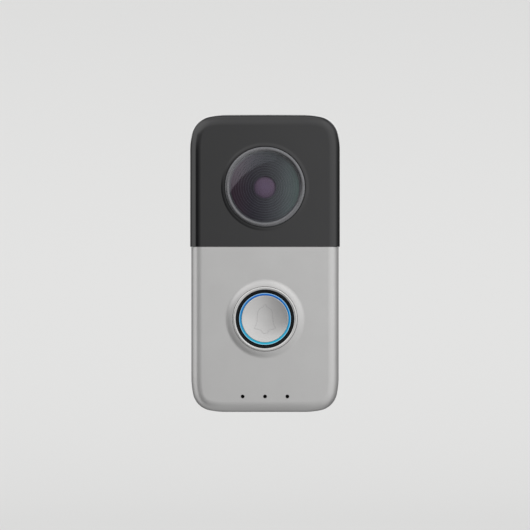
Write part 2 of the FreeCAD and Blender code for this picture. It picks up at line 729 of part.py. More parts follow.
def lens_window():
    """Bevelled ring, domed cover glass and its seal in the camera cover's hole."""
    turned(
        "lens_bezel",
        "lens_z",
        [
            ("24.05", "glass_radius + 0.1"),
            ("26.55", "glass_radius + 0.1"),
            ("26.3", "lens_hole - 0.15", "-1.5"),
            ("24.05", "lens_hole - 0.15"),
        ],
    )
    turned(
        "lens_cover_glass",
        "lens_z",
        [
            ("glass_edge - 0.2", "0"),
            ("glass_edge - 1.45", "glass_radius", "-" + dome("glass_radius", "1.25")),
            ("glass_edge", "glass_radius"),
            ("glass_apex", "flat_middle", dome("glass_radius - flat_middle", "glass_apex - glass_edge")),
            ("glass_apex", "0"),
        ],
    )
    turned(
        "lens_gasket",
        "lens_z",
        [
            ("frame_face + 0.05", "14.65"),
            ("25", "14.65"),
            ("25", "glass_radius"),
            ("frame_face + 0.05", "glass_radius"),
        ],
    )


def lens_baffle(steps=9):
    """Black stepped cone between the front lens and the cover glass."""
    front = []
    for k in range(steps):
        depth = f"baffle_back + (baffle_front - baffle_back) * {k / (steps - 1):.6f}"
        for edge in (k, k + 1):
            share = f"{edge / steps:.6f}"
            front.append((depth, f"baffle_inner + (baffle_outer - baffle_inner) * {share}"))
    turned(
        "lens_baffle",
        "lens_z",
        [
            *front,
            ("23.9", "baffle_outer"),
            ("23.9", "15.5"),
            ("22.95", "15.5"),
            ("22.95", "10"),
            ("22", "baffle_inner + 0.4"),
            ("22", "baffle_inner"),
        ],
    )


def lens_stack():
    """Barrel with its glass elements, and the filter behind them."""
    z = "lens_z"
    turned(
        "lens_front_element",
        z,
        [
            ("20.2", "0"),
            ("19.7", "5.4", "-" + dome("5.4", "0.5")),
            ("21.2", "5.4"),
            ("22.2", "flat_middle", dome("5.4 - flat_middle", "1")),
            ("22.2", "0"),
        ],
    )
    turned(
        "lens_barrel",
        z,
        [
            ("13.2", "4"),
            ("19.6", "4"),
            ("19.6", "5.45"),
            ("21.6", "5.45"),
            ("21.8", "5.9"),
            ("21.8", "7.4"),
            ("19", "7.4"),
            ("19", "6.9"),
            ("13.2", "6.9"),
        ],
    )
    edge = "3.95"
    domed = [("17", "0"), ("17", edge), ("18", edge), ("19", "0", dome(edge, "1"))]
    hollow = [("13.6", "0"), ("14.4", edge, dome(edge, "0.8")), ("15.6", edge), ("15.6", "0")]
    middle, rear = turned("middle_lens", z, domed), turned("rear_lens", z, hollow)
    for lens in (middle, rear):
        pieces.pop(lens.Label)
    keep("lens_inner_elements", group(middle, rear))
    keep("infrared_cut_filter", square("0", z, "4.2", "12", "12.5"))


def camera_module():
    """Lens holder, sensor, board, two screws and the ribbon to the main board."""
    z, arm = "lens_z", "camera_screw_x + 2.4"
    solid = together(
        square("0", z, "10", "10.6", "12.8"),
        square("0", z, arm, "12.8", "14.5", "2.8"),
        rod("0", z, "8.4", "12.6", "18.6"),
    )
    holes = [rod(x, zz, "1.05", "12", "15") for x, zz in CAMERA_SCREWS]
    rooms = [
        rod("0", z, "6.95", "12.8", "19"),
        square("0", z, "5.4", "10", "12.7"),
        rod("0", z, "4.5", "12", "13"),
    ]
    keep("lens_holder", cut(solid, *rooms, *holes))
    screws = [screw(x, zz, "0.85", "1.7", "12.75", "11.6", "18.5") for x, zz in CAMERA_SCREWS]
    keep("camera_screws", group(*screws))
    board = square("0", z, "12", "9.6", "10.55")
    keep("camera_board", rounded(board, 1.2, along(Vector(0, 1, 0))))
    package = square("0", z, "4.6", "10.55", "11.3", "4.1")
    glass = square("0", z, "3.9", "11.3", "11.6", "3.4")
    keep("image_sensor", together(package, glass))
    body = new_body("camera_ribbon")
    sketch = new_sketch(body, SIDE_VIEW, "-4")
    loop(
        sketch,
        [
            ("-10.65", "21.9"),
            ("-10.65", "19.6"),
            ("-11.65", "18.6", "1"),
            ("-15.2", "18.6"),
            ("-16.2", "17.6", "-1"),
            ("-16.2", "12"),
            ("-16.35", "12"),
            ("-16.35", "17.6"),
            ("-15.2", "18.75", "1.15"),
            ("-11.65", "18.75"),
            ("-10.8", "19.6", "-0.85"),
            ("-10.8", "21.9"),
        ],
    )
    pad(body, sketch, "8")


def infrared_lighting():
    """Ring board behind the dark cover, with its lamps and the light sensor."""
    disc, hole = (rod("0", "lens_z", radius, "21.2", "22") for radius in ("26", "20.9"))
    keep("infrared_board", cut(disc, hole))
    lamps = [
        together(square(x, z, "1.4", "22", "22.5"), rod(x, z, "1.2", "22.5", "23.3"))
        for x, z in INFRARED_LAMPS
    ]
    keep("infrared_lamps", group(*lamps))
    keep("light_sensor", square("0", "lens_z + infrared_radius", "1", "22", "22.8"))


# ---------------------------------------------------------------- push button


def push_button():
    """Dished cap in a light ring that slides in the frame's guide, with trim ring and seal."""
    z = "button_z"
    turned(
        "button_cap",
        z,
        [
            ("24.6", "0"),
            ("24.6", "ring_inner - 0.1"),
            ("cap_front - 0.2", "ring_inner - 0.1"),
            ("cap_front", "ring_inner - 0.3", "0.2"),
            ("cap_front - dish_sag", "flat_middle", "-" + dome("ring_inner - 0.3 - flat_middle", "dish_sag")),
            ("cap_front - dish_sag", "0"),
        ],
    )
    turned(
        "light_ring",
        z,
        [
            ("19.2", "ring_inner"),
            ("ring_front - 0.2", "ring_inner"),
            ("ring_front - 0.2", "ring_outer", "-0.85"),
            ("19.95", "ring_outer"),
            ("19.95", "12.2"),
            ("19.2", "12.2"),
        ],
    )
    turned(
        "button_actuator",
        z,
        [
            ("20.4", "0"),
            ("20.4", "2.2"),
            ("22.8", "2.2"),
            ("22.8", "ring_inner - 0.03"),
            ("24.55", "ring_inner - 0.03"),
            ("24.55", "0"),
        ],
    )
    turned(
        "button_trim_ring",
        z,
        [
            ("frame_face + 0.05", "well_radius"),
            ("trim_front", "well_radius"),
            ("trim_front - 0.2", "button_hole - 0.05", "-0.75"),
            ("frame_face + 0.05", "button_hole - 0.05"),
        ],
    )
    turned(
        "button_seal",
        z,
        [
            ("frame_face + 0.05", "ring_outer + 0.1"),
            ("24.7", "ring_outer + 0.1"),
            ("25.1", "ring_outer + 0.6"),
            ("24.7", "well_radius - 0.05"),
            ("frame_face + 0.05", "well_radius - 0.05"),
        ],
    )
    keep("button_plunger", rod("0", z, "1.6", "19.2", "20.35"))
    case = square("0", z, "3.1", "board_front", "19.5")
    keep("button_switch", cut(case, rod("0", z, "1.75", "18.3", "20")))
    lamps = [
        square(x, zz, "0.8", "board_front", "board_front + 0.6")
        for x, zz in ring_points(12, "led_radius", z, "15")
    ]
    keep("button_lamps", group(*lamps))


# ---------------------------------------------------------------- boards and works


def main_board():
    """Board behind the faceplate, with a tongue for the microphones."""
    slab = box("-26.4", "26.4", "-49.5", "18.5", "board_back", "board_front")
    tongue = box("-14", "14", "-58.6", "-49", "board_back", "board_front")
    tools = [rod(x, z, "boss_radius + 0.4", "15", "19") for x, z in HOUSING_SCREWS[4:]]
    tools += [rod(x, z, "1.1", "15", "19") for x, z in BOARD_SCREWS]
    keep("main_board", cut(together(slab, tongue), *tools))
    screws = [screw(x, z, "0.8", "1.7", "board_back", "board_back - 1", "21.3") for x, z in BOARD_SCREWS]
    keep("board_screws", group(*screws))


def board_parts():
    """Shield cans with the chips under them, and small components."""
    front = "board_front"
    cans, chips = [], []
    for side in ("-", ""):
        x, z = f"{side}11.2", "1"
        can = square(x, z, "10", front, "19.4", "9")
        cans.append(cut(can, square(x, z, "9.8", "17", "19.2", "8.8")))
        chips.append(square(x, z, "6", front, "18.8"))
    keep("board_shields", group(*cans))
    keep("board_chips", group(*chips))
    small = []
    for k in range(6):
        for side in ("-", ""):
            small.append(square(f"{side}20.5", f"-14 - {k} * 5", "1.6", front, f"{front} + 1.1", "1"))
    small += [square(f"{k} * 7", "-42.5", "2.2", front, f"{front} + 1.4", "1.6") for k in (-2, -1, 1, 2)]
    small.append(square("20", "15", "1.4", front, f"{front} + 1.6"))
    keep("board_components", group(*small))


def sound():
    """Microphones behind the three holes, and the loudspeaker that fires downwards."""
    parts = [square(x, z, "1.9", "board_front", "board_front + 1", "1.4") for x, z in PORTS]
    keep("microphones", group(*parts))
    strip = box("-12", "12", "port_z - 2", "port_z + 2", "board_front + 1.05", "22.35")
    keep("microphone_gasket", cut(strip, *[rod(x, z, "0.8", "18", "23") for x, z in PORTS]))
    mesh = box("-12", "12", "port_z - 2.2", "port_z + 2.2", "frame_face + 0.02", "frame_face + 0.16")
    keep("microphone_mesh", mesh)
    case = box("-17", "17", "-57", "-50.3", "8", "14")
    opening = box("-14.5", "14.5", "-58", "-56.2", "8.8", "13.2")
    cone = box("-13.5", "13.5", "-56.6", "-56.1", "9.6", "12.4")
    keep("speaker", together(cut(case, opening), cone))
    foam = box("-17", "17", "-59.4", "-57.05", "8", "13.2")
    keep("speaker_gasket", cut(foam, box("-14.5", "14.5", "-60", "-57", "8.8", "12.2")))
    keep("speaker_mesh", box("-14.3", "14.3", "-59.45", "-59.25", "8.9", "12.1"))


def power():
    """Battery, rear terminals, charging socket and set-up button on a small board."""
    keep("power_board", box("-19.8", "19.8", "-0.5", "15.5", "12", "13.2"))
    keep("board_link", box("-12", "12", "0", "4", "13.25", "16.35"))
    shell = cut(square("0", "4", "4.5", "6.2", "12", "1.65"), square("0", "4", "4.2", "6", "11", "1.35"))
    keep("charging_socket", together(shell, square("0", "4", "3.4", "7", "11.2", "0.35")))
    posts = [cut(rod(x, z, "3", "5.3", "11.95"), rod(x, z, "1.45", "5", "10.5")) for x, z in TERMINALS]
    keep("terminal_posts", group(*posts))
    screws = [screw(x, z, "1.4", "2.8", "5.1", "3.5", "9.6") for x, z in TERMINALS]
    keep("terminal_screws", group(*screws))
    z = "11.5"
    keep("setup_button", together(rod("0", z, "2.3", "5.4", "8.4"), rod("0", z, "3.2", "7.7", "8.4")))
    keep("setup_plunger", rod("0", z, "1", "8.45", "10"))
    keep("setup_switch", cut(square("0", z, "2.6", "9.3", "11.95"), rod("0", z, "1.15", "9", "10.6")))
    cell = box("-21.5", "21.5", "-49", "-4", "8", "15.4")
    keep("battery_cell", rounded(cell, 1.6, lambda edge: True))
    keep("battery_pad", box("-18", "18", "-45", "-8", "7.65", "7.95"))
    leads = [upright(x, "11.4", "0.65", "-3.95", "-0.55") for x in ("-16", "-13.5")]
    keep("battery_leads", group(*leads))


def cable(points, radius):
    """A round cable on straight runs joined by tangent arcs, as large as the runs allow."""
    edges, start, radii = [], points[0], []
    for before, corner, after in zip(points, points[1:], points[2:]):
        back, ahead = before - corner, after - corner
        half_turn = (math.pi - back.getAngle(ahead)) / 2
        setback = 0.45 * min(back.Length, ahead.Length)
        radii.append(setback / math.tan(half_turn))
        back.normalize()
        ahead.normalize()
        first, last = corner + back * setback, corner + ahead * setback
        bisector = (back + ahead).normalize()
        centre = corner + bisector * (radii[-1] / math.cos(half_turn))
        middle = centre - bisector * radii[-1]
        edges += [Part.LineSegment(start, first).toShape(), Part.Arc(first, middle, last).toShape()]
        start = last
    edges.append(Part.LineSegment(start, points[-1]).toShape())
    path = Part.Wire(edges)
    circle = Part.Wire(Part.makeCircle(radius, points[0], points[1] - points[0]))
    tube = path.makePipeShell([circle], True, True)
    share = tube.Volume / (math.pi * radius**2 * path.Length)
    print("cable: length %.1f, smallest radius %.1f, volume share %.3f" % (path.Length, min(radii), share))
    return tube


def antenna():
    """Foil antenna under the frame's top wall, and its coaxial lead."""
    keep("antenna", box("-13", "13", "58.5", "58.8", "14", "20.5"))
    depth, radius = 18.4, 0.55
    route = [(20.0, 16.9), (23.0, 20.5), (23.2, 34.0), (22.6, 45.0), (17.5, 50.0), (12.5, 53.5), (11.5, 58.4)]
    tube = cable([Vector(x, -depth, z) for x, z in route], radius)
    lead = doc.addObject("Part::Feature", "antenna_lead")
    lead.Shape = tube
    keep("antenna_lead", lead)


# ---------------------------------------------------------------- build and write


def check_document():
    """Stops if any object failed or any piece has no valid solid."""
    failed = [o.Name for o in doc.Objects if "Invalid" in o.State or "Error" in o.State]
    if failed:
        raise RuntimeError(f"failed objects: {failed}")
    for name, thing in pieces.items():
        shape = thing.Shape
        if shape.isNull() or not shape.isValid() or not shape.Solids:
            raise RuntimeError(f"{name} has no valid solid")


def main():
    for build in (
        wall_plate,
        rear_cover,
        security_lock,
        housing_fasteners,
        front_frame,
        camera_cover,
        faceplate,
        tapes,
        lens_window,
        lens_baffle,
        lens_stack,
        camera_module,
        infrared_lighting,
        push_button,
        main_board,
        board_parts,
        sound,
        power,
        antenna,
    ):
        build()
    doc.recompute()
    check_document()
    os.makedirs("parts", exist_ok=True)
    for name, thing in pieces.items():
        thing.Shape.exportStep(f"parts/{name}.step")
    print(len(pieces), "pieces written")


main()
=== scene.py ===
"""Looks of the video doorbell: studio, camera, finishes and the mark that rides on the CAD model.

Metres, in the CAD model's frame: +Z up, +X right, and -Y out of the wall towards the visitor.
"""

import json
import math

import bmesh
import bpy
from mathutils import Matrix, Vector


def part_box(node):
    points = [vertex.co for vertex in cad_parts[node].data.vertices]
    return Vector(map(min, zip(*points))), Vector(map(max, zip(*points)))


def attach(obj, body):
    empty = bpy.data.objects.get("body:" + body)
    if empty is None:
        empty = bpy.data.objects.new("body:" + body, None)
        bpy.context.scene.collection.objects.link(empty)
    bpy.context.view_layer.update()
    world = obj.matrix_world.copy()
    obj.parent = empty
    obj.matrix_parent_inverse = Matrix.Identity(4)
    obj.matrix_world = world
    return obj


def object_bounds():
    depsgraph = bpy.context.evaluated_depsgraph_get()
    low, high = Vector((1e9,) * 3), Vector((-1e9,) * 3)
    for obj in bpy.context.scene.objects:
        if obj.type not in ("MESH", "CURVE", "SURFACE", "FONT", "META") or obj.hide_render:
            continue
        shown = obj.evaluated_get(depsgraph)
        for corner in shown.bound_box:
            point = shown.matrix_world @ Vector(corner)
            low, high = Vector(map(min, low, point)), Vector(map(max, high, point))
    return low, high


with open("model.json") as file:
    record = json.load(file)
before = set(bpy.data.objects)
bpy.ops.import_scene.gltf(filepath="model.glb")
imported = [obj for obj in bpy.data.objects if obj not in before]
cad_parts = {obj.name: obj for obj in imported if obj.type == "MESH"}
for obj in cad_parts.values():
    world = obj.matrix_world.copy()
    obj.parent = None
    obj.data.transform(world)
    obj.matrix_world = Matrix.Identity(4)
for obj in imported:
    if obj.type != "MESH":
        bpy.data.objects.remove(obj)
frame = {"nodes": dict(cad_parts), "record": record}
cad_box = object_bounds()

MM = 0.001
NODES = frame["nodes"]
SLOT_OF = {part["node"]: part["material_slot"] for part in frame["record"]["subparts"]}
LOW, HIGH = (Vector(corner) for corner in cad_box)


def centre(node):
    """Middle of a CAD node's box."""
    low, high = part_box(node)
    return (low + high) / 2


BUTTON = centre("button_cap")
LENS = centre("lens_cover_glass")


def new_object(name, data):
    """An object of that mesh, curve, light or camera in the scene."""
    piece = bpy.data.objects.new(name, data)
    bpy.context.scene.collection.objects.link(piece)
    return piece


class Graph:
    """Short words for building a node tree."""

    def __init__(self, tree):
        self.tree = tree
        tree.nodes.clear()

    def node(self, kind, **values):
        """A node; values set its properties or, where none has that name, its sockets."""
        made = self.tree.nodes.new(kind)
        for name, value in values.items():
            if hasattr(made, name):
                setattr(made, name, value)
            else:
                made.inputs[name.replace("_", " ")].default_value = value
        return made

    def link(self, source, target):
        self.tree.links.new(source, target)

    def feed(self, socket, value):
        """Links a socket to another, or sets it to a number or a colour."""
        if isinstance(value, (int, float)):
            socket.default_value = value
        elif isinstance(value, tuple):
            socket.default_value = (*value, 1) if len(socket.default_value) == 4 else value
        else:
            self.link(value, socket)

    def math(self, operation, first, second=0.0):
        """A maths node on two sockets or numbers; returns its result."""
        made = self.node("ShaderNodeMath", operation=operation)
        self.feed(made.inputs[0], first)
        self.feed(made.inputs[1], second)
        return made.outputs[0]

    def vector(self, operation, first, second=(0, 0, 0), result="Vector"):
        """A vector maths node; returns its vector, or its number where result is Value."""
        made = self.node("ShaderNodeVectorMath", operation=operation)
        self.feed(made.inputs[0], first)
        self.feed(made.inputs[1], second)
        return made.outputs[result]

    def ramp(self, factor, stops):
        """A colour ramp; stops are (position, grey or colour)."""
        made = self.node("ShaderNodeValToRGB")
        elements = made.color_ramp.elements
        while len(elements) < len(stops):
            elements.new(1.0)
        for element, (position, shade) in zip(elements, sorted(stops, key=lambda stop: stop[0])):
            element.position = position
            colour = (shade, shade, shade) if isinstance(shade, (int, float)) else shade
            element.color = (*colour, 1)
        self.link(factor, made.inputs["Fac"])
        return made.outputs["Color"]

    def mix(self, factor, first, second, blend="MIX"):
        """A colour mix of two sockets or colours."""
        made = self.node("ShaderNodeMix", data_type="RGBA", blend_type=blend)
        for index, value in ((0, factor), (6, first), (7, second)):
            self.feed(made.inputs[index], value)
        return made.outputs[2]

    def spread(self, value, low, high, to_low=0.0, to_high=1.0):
        """Maps a value's range to another, held at its ends."""
        made = self.node(
            "ShaderNodeMapRange", From_Min=low, From_Max=high, To_Min=to_low, To_Max=to_high
        )
        self.link(value, made.inputs["Value"])
        return made.outputs["Result"]


# ---------------------------------------------------------------- studio

# share of the view's height that the outline fills, and its depth behind the cover's front
FRAME_SHARE = 0.5602
EDGE_DEPTH = 5 * MM
LENS_MM = 135
SENSOR_MM = 36
CAMERA_DROP = 0.68 * MM
PALE = (0.75, 0.75, 0.745)

# azimuth in degrees (0 faces the front, + is the visitor's right) and brightness
SIDES_LOW = [
    (-180, 0.2), (-130, 0.1), (-112, 0.7), (-95, 1.35), (-72, 1.55), (-61, 1.5), (-54, 0.2),
    (-50, 0.0), (-38, 0.0), (-28, 0.06), (-17, 0.32), (-7, 0.57), (-2.5, 0.84), (0, 0.98),
    (2.5, 1.16), (14, 1.34), (40, 1.5), (61, 1.5), (74, 1.2), (86, 0.6), (99, 0.25), (117, 0.08),
    (130, 0.06), (180, 0.15),
]
SIDES_HIGH = [
    (-180, 0.08), (-130, 0.3), (-100, 1.2), (-60, 1.5), (-25, 1.35), (-7, 1.06), (0, 1.0),
    (14, 1.15), (40, 1.35), (74, 1.2), (100, 0.5), (130, 0.2), (180, 0.08),
]
# elevation in degrees and brightness
HEIGHTS = [
    (-90, 0.66), (-50, 0.66), (-24, 0.72), (-8, 0.85), (0, 1.0), (4, 1.03), (10, 1.1), (24, 1.27),
    (50, 1.35), (75, 1.15), (90, 0.98),
]
# share of SIDES_HIGH against SIDES_LOW, and share of either against an even light, by height
ABOVE_GAP = [(2, 0.0), (20, 1.0)]
SIDED = [(-70, 0.0), (-38, 1.0), (60, 1.0), (78, 0.0)]

# azimuth, elevation, distance, side and radiance of each light
KEY_LIGHT = (38, 38, 0.3, 0.22, 4.4)
BACK_SOFTBOX = (158, 28, 0.8, 0.5, 2.0)
DOME_SOFTBOX = (-25, 18, 0.5, 0.6, 3.1)
# the round dark gap that the dome softbox leaves: azimuth, elevation, radius in degrees, blur
GAP = (15, -23, 44.5, 0.006)
# the dome softbox is dark right of the first azimuth and full left of the second
FADE = (16, -20)
FADED_TINT = (0.72, 0.95, 1.0)
FULL_TINT = (1.0, 0.92, 1.05)

BACKDROP_PAINT = (0.28, 0.28, 0.2775)
BACKDROP_GLOW = (0.39, 0.39, 0.387)


def make_camera():
    """Straight at the front, as far away as lets the outline fill its share of the frame."""
    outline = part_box("camera_cover")[0].y + EDGE_DEPTH
    distance = (HIGH.z - LOW.z) / FRAME_SHARE * LENS_MM / SENSOR_MM
    data = bpy.data.cameras.new("camera")
    data.lens, data.sensor_width, data.clip_start = LENS_MM, SENSOR_MM, 0.01
    camera = new_object("camera", data)
    middle = (LOW.z + HIGH.z) / 2
    camera.location = (0, outline - distance, middle - CAMERA_DROP)
    camera.rotation_euler = (math.pi / 2, 0, 0)
    bpy.context.scene.camera = camera


def make_world():
    """Soft studio: bright overhead and to the right, with a dark gap low on the left."""
    world = bpy.data.worlds.new("studio")
    bpy.context.scene.world = world
    world.use_nodes = True
    graph = Graph(world.node_tree)
    parts = graph.node("ShaderNodeSeparateXYZ")
    graph.link(graph.node("ShaderNodeTexCoord").outputs["Generated"], parts.inputs[0])
    across, depth, up = parts.outputs
    azimuth = graph.math("ARCTAN2", across, graph.math("MULTIPLY", depth, -1.0))
    azimuth = graph.math("ADD", graph.math("DIVIDE", azimuth, 2 * math.pi), 0.5)
    elevation = graph.math("ADD", graph.math("DIVIDE", graph.math("ARCSINE", up), math.pi), 0.5)

    # both factors of the light are halved in their ramps, and the strength of 4 restores them
    def around(stops):
        return graph.ramp(azimuth, [((angle + 180) / 360, level / 2) for angle, level in stops])

    def rising(stops, scale):
        places = [((angle + 90) / 180, level * scale) for angle, level in stops]
        return graph.ramp(elevation, places)

    sides = graph.mix(rising(ABOVE_GAP, 1.0), around(SIDES_LOW), around(SIDES_HIGH))
    sides = graph.mix(rising(SIDED, 1.0), (0.5, 0.5, 0.5), sides)
    light = graph.mix(1.0, sides, rising(HEIGHTS, 0.5), "MULTIPLY")
    glow = graph.node("ShaderNodeBackground", Strength=4.0)
    graph.link(light, glow.inputs["Color"])
    plain = graph.node("ShaderNodeBackground", Color=(*PALE, 1), Strength=1.0)
    seen = graph.node("ShaderNodeLightPath")
    choice = graph.node("ShaderNodeMixShader")
    graph.link(seen.outputs["Is Camera Ray"], choice.inputs[0])
    graph.link(glow.outputs[0], choice.inputs[1])
    graph.link(plain.outputs[0], choice.inputs[2])
    output = graph.node("ShaderNodeOutputWorld")
    graph.link(choice.outputs[0], output.inputs["Surface"])


def backdrop_material():
    """Pale matt paint on the inside, and clear from outside."""
    material = bpy.data.materials.new("backdrop")
    material.use_nodes = True
    graph = Graph(material.node_tree)
    paint = graph.node("ShaderNodeBsdfPrincipled", Base_Color=(*BACKDROP_PAINT, 1), Roughness=0.9)
    paint.inputs["Emission Color"].default_value = (*BACKDROP_GLOW, 1)
    paint.inputs["Emission Strength"].default_value = 1.0
    sides = graph.node("ShaderNodeMixShader")
    graph.link(graph.node("ShaderNodeNewGeometry").outputs["Backfacing"], sides.inputs[0])
    graph.link(paint.outputs[0], sides.inputs[1])
    graph.link(graph.node("ShaderNodeBsdfTransparent").outputs[0], sides.inputs[2])
    output = graph.node("ShaderNodeOutputMaterial")
    graph.link(sides.outputs[0], output.inputs["Surface"])
    return material


def make_backdrop():
    """Pale floor that curves up all round, well away from the doorbell."""
    floor, wall, bend, top = -0.3, 2.4, 0.9, 4.0
    steps = 16
    profile = [(0.0, floor)]
    for k in range(steps + 1):
        angle = math.pi / 2 * k / steps
        reach = wall - bend + bend * math.sin(angle)
        profile.append((reach, floor + bend - bend * math.cos(angle)))
    profile.append((wall, top))
    bowl = bmesh.new()
    points = [bowl.verts.new((reach, 0, height)) for reach, height in profile]
    lines = [bowl.edges.new(pair) for pair in zip(points, points[1:])]
    bmesh.ops.spin(
        bowl,
        geom=points + lines,
        cent=(0, 0, 0),
        axis=(0, 0, 1),
        angle=2 * math.pi,
        steps=72,
        use_merge=True,
    )
    bmesh.ops.remove_doubles(bowl, verts=bowl.verts, dist=1e-5)
    bmesh.ops.recalc_face_normals(bowl, faces=bowl.faces)
    lowest = min(bowl.faces, key=lambda face: face.calc_center_median().z)
    if lowest.normal.z < 0:
        bmesh.ops.reverse_faces(bowl, faces=bowl.faces)
    mesh = bpy.data.meshes.new("backdrop")
    bowl.to_mesh(mesh)
    bowl.free()
    mesh.shade_smooth()
    mesh.materials.append(backdrop_material())
    backdrop = new_object("backdrop", mesh)
    backdrop.visible_glossy = False
    backdrop.visible_diffuse = False
    backdrop.visible_transmission = False
    backdrop.visible_shadow = False


def direction(azimuth, elevation):
    """Unit vector towards a direction given in degrees."""
    turn, rise = math.radians(azimuth), math.radians(elevation)
    level = math.cos(rise)
    return Vector((math.sin(turn) * level, -math.cos(turn) * level, math.sin(rise)))


def area_light(name, target, azimuth, elevation, reach, size, radiance, receivers=()):
    """A square light facing the target from `reach` away; only the receivers see it, if given."""
    aim = direction(azimuth, elevation)
    data = bpy.data.lights.new(name, "AREA")
    data.shape, data.size = "SQUARE", size
    data.energy = radiance * size * size * math.pi
    light = new_object(name, data)
    light.location = target + aim * reach
    light.rotation_euler = aim.to_track_quat("Z", "Y").to_euler()
    light.visible_camera = False
    if receivers:
        group = bpy.data.collections.new(f"{name}_receivers")
        for node in receivers:
            group.objects.link(NODES[node])
        light.light_linking.receiver_collection = group
    return light


def open_glass():
    """Lets soft light reach the parts behind the smoked dome."""
    dome = NODES["lens_cover_glass"]
    dome.visible_diffuse = False
    dome.visible_shadow = False


def mask_dome_softbox(softbox):
    """Cuts the round dark gap out of the softbox, fades it towards the right and tints it."""
    softbox.data.use_nodes = True
    graph = Graph(softbox.data.node_tree)
    place = graph.node("ShaderNodeNewGeometry").outputs["Position"]
    towards = graph.vector("NORMALIZE", graph.vector("SUBTRACT", place, tuple(LENS)))
    azimuth, elevation, radius, blur = GAP
    nearness = graph.vector("DOT_PRODUCT", towards, tuple(direction(azimuth, elevation)), "Value")
    rim = math.cos(math.radians(radius))
    edge = graph.spread(nearness, rim + blur, rim - blur)
    across = graph.vector("DOT_PRODUCT", towards, tuple(direction(90, 0)), "Value")
    fade = graph.spread(across, *[math.sin(math.radians(angle)) for angle in FADE])
    glow = graph.node("ShaderNodeEmission")
    graph.link(graph.mix(fade, FADED_TINT, FULL_TINT), glow.inputs["Color"])
    graph.link(graph.math("MULTIPLY", edge, fade), glow.inputs["Strength"])
    output = graph.node("ShaderNodeOutputLight")
    graph.link(glow.outputs[0], output.inputs["Surface"])


def make_lights():
    """Key light on the right, two softboxes behind, and the one that shows on the lens dome."""
    key = area_light("key_light", Vector((0, LOW.y, 0)), *KEY_LIGHT)
    key.visible_glossy = False
    key.visible_transmission = False
    azimuth, *rest = BACK_SOFTBOX
    for side in (-1, 1):
        area_light(f"back_softbox_{side}", Vector(), side * azimuth, *rest)
    mask_dome_softbox(area_light("dome_softbox", LENS, *DOME_SOFTBOX, ["lens_cover_glass"]))


# ---------------------------------------------------------------- finishes

# radii of the stepped ring behind the lens dome and of the light ring, as in the CAD model
BAFFLE_HOLE = 4.9 * MM
BAFFLE_RIM = 14.4 * MM
BAFFLE_STEPS = 9
RING_INNER = 9.95 * MM
RING_OUTER = 10.85 * MM


class Finish(Graph):
    """A material around one Principled shader, with patterns in the object's own coordinates."""

    def __init__(self, name, **sockets):
        self.material = bpy.data.materials.new(name)
        self.material.use_nodes = True
        super().__init__(self.material.node_tree)
        self.shader = self.node("ShaderNodeBsdfPrincipled")
        for socket, value in sockets.items():
            value = (*value, 1) if isinstance(value, tuple) else value
            self.shader.inputs[socket.replace("_", " ")].default_value = value
        output = self.node("ShaderNodeOutputMaterial")
        self.link(self.shader.outputs[0], output.inputs["Surface"])
        self.place = self.node("ShaderNodeTexCoord").outputs["Object"]

    def noise(self, grain, detail=2.0):
        """Noise whose patches are about `grain` metres wide."""
        made = self.node("ShaderNodeTexNoise", Scale=1 / grain, Detail=detail)
        self.link(self.place, made.inputs["Vector"])
        return made.outputs["Fac"]

    def cells(self, size, distance="EUCLIDEAN"):
        """Distance in a pattern of cells about `size` metres wide."""
        made = self.node("ShaderNodeTexVoronoi", distance=distance, Scale=1 / size)
        self.link(self.place, made.inputs["Vector"])
        return made.outputs["Distance"]

    def wave(self, letter, pitch):
        """Soft stripes across one axis, from 0 to 1."""
        turns = self.math("MULTIPLY", self.axis(letter), 2 * math.pi / pitch)
        return self.math("ADD", self.math("MULTIPLY", self.math("SINE", turns), 0.5), 0.5)

    def roughness(self, value, low, high):
        """Drives the roughness from a pattern."""
        self.link(self.spread(value, 0.3, 0.7, low, high), self.shader.inputs["Roughness"])

    def colour(self, socket):
        self.link(socket, self.shader.inputs["Base Color"])

    def shade(self, value, dark, light):
        """Drives the base colour between two colours."""
        self.colour(self.ramp(value, [(0.3, dark), (0.7, light)]))

    def bump(self, value, depth, strength=1.0):
        """Drives the surface relief; depth is in metres."""
        made = self.node("ShaderNodeBump", Strength=strength, Distance=depth)
        self.link(value, made.inputs["Height"])
        earlier = self.shader.inputs["Normal"]
        if earlier.is_linked:
            self.link(earlier.links[0].from_socket, made.inputs["Normal"])
        self.link(made.outputs[0], earlier)

    def axis(self, letter):
        """One of the object's own coordinates."""
        made = self.node("ShaderNodeSeparateXYZ")
        self.link(self.place, made.inputs[0])
        return made.outputs["XYZ".index(letter)]

    def radius(self, middle):
        """Distance from the axis through a point, along the wall's normal."""
        across = self.math("SUBTRACT", self.axis("X"), middle.x)
        up = self.math("SUBTRACT", self.axis("Z"), middle.z)
        squares = self.math("ADD", self.math("POWER", across, 2.0), self.math("POWER", up, 2.0))
        return self.math("SQRT", squares)


def smoked_plastic():
    """Polished black plastic: a hard gloss with the faint haze of handling."""
    finish = Finish("smoked_plastic", IOR=1.5)
    finish.shade(finish.noise(20 * MM, 3.0), (0.0055, 0.0055, 0.006), (0.0065, 0.0065, 0.007))
    finish.roughness(finish.noise(9 * MM, 5.0), 0.09, 0.14)
    finish.bump(finish.noise(1.6 * MM), 0.0012 * MM)
    return finish.material


def satin_nickel():
    """Bead-blasted metal: even, soft and slightly warm."""
    finish = Finish("satin_nickel", Metallic=0.5)
    finish.shade(finish.noise(14 * MM, 4.0), (0.365, 0.362, 0.359), (0.381, 0.379, 0.376))
    finish.roughness(finish.noise(0.9 * MM, 2.0), 0.28, 0.34)
    finish.bump(finish.noise(0.5 * MM, 1.0), 0.0012 * MM)
    return finish.material


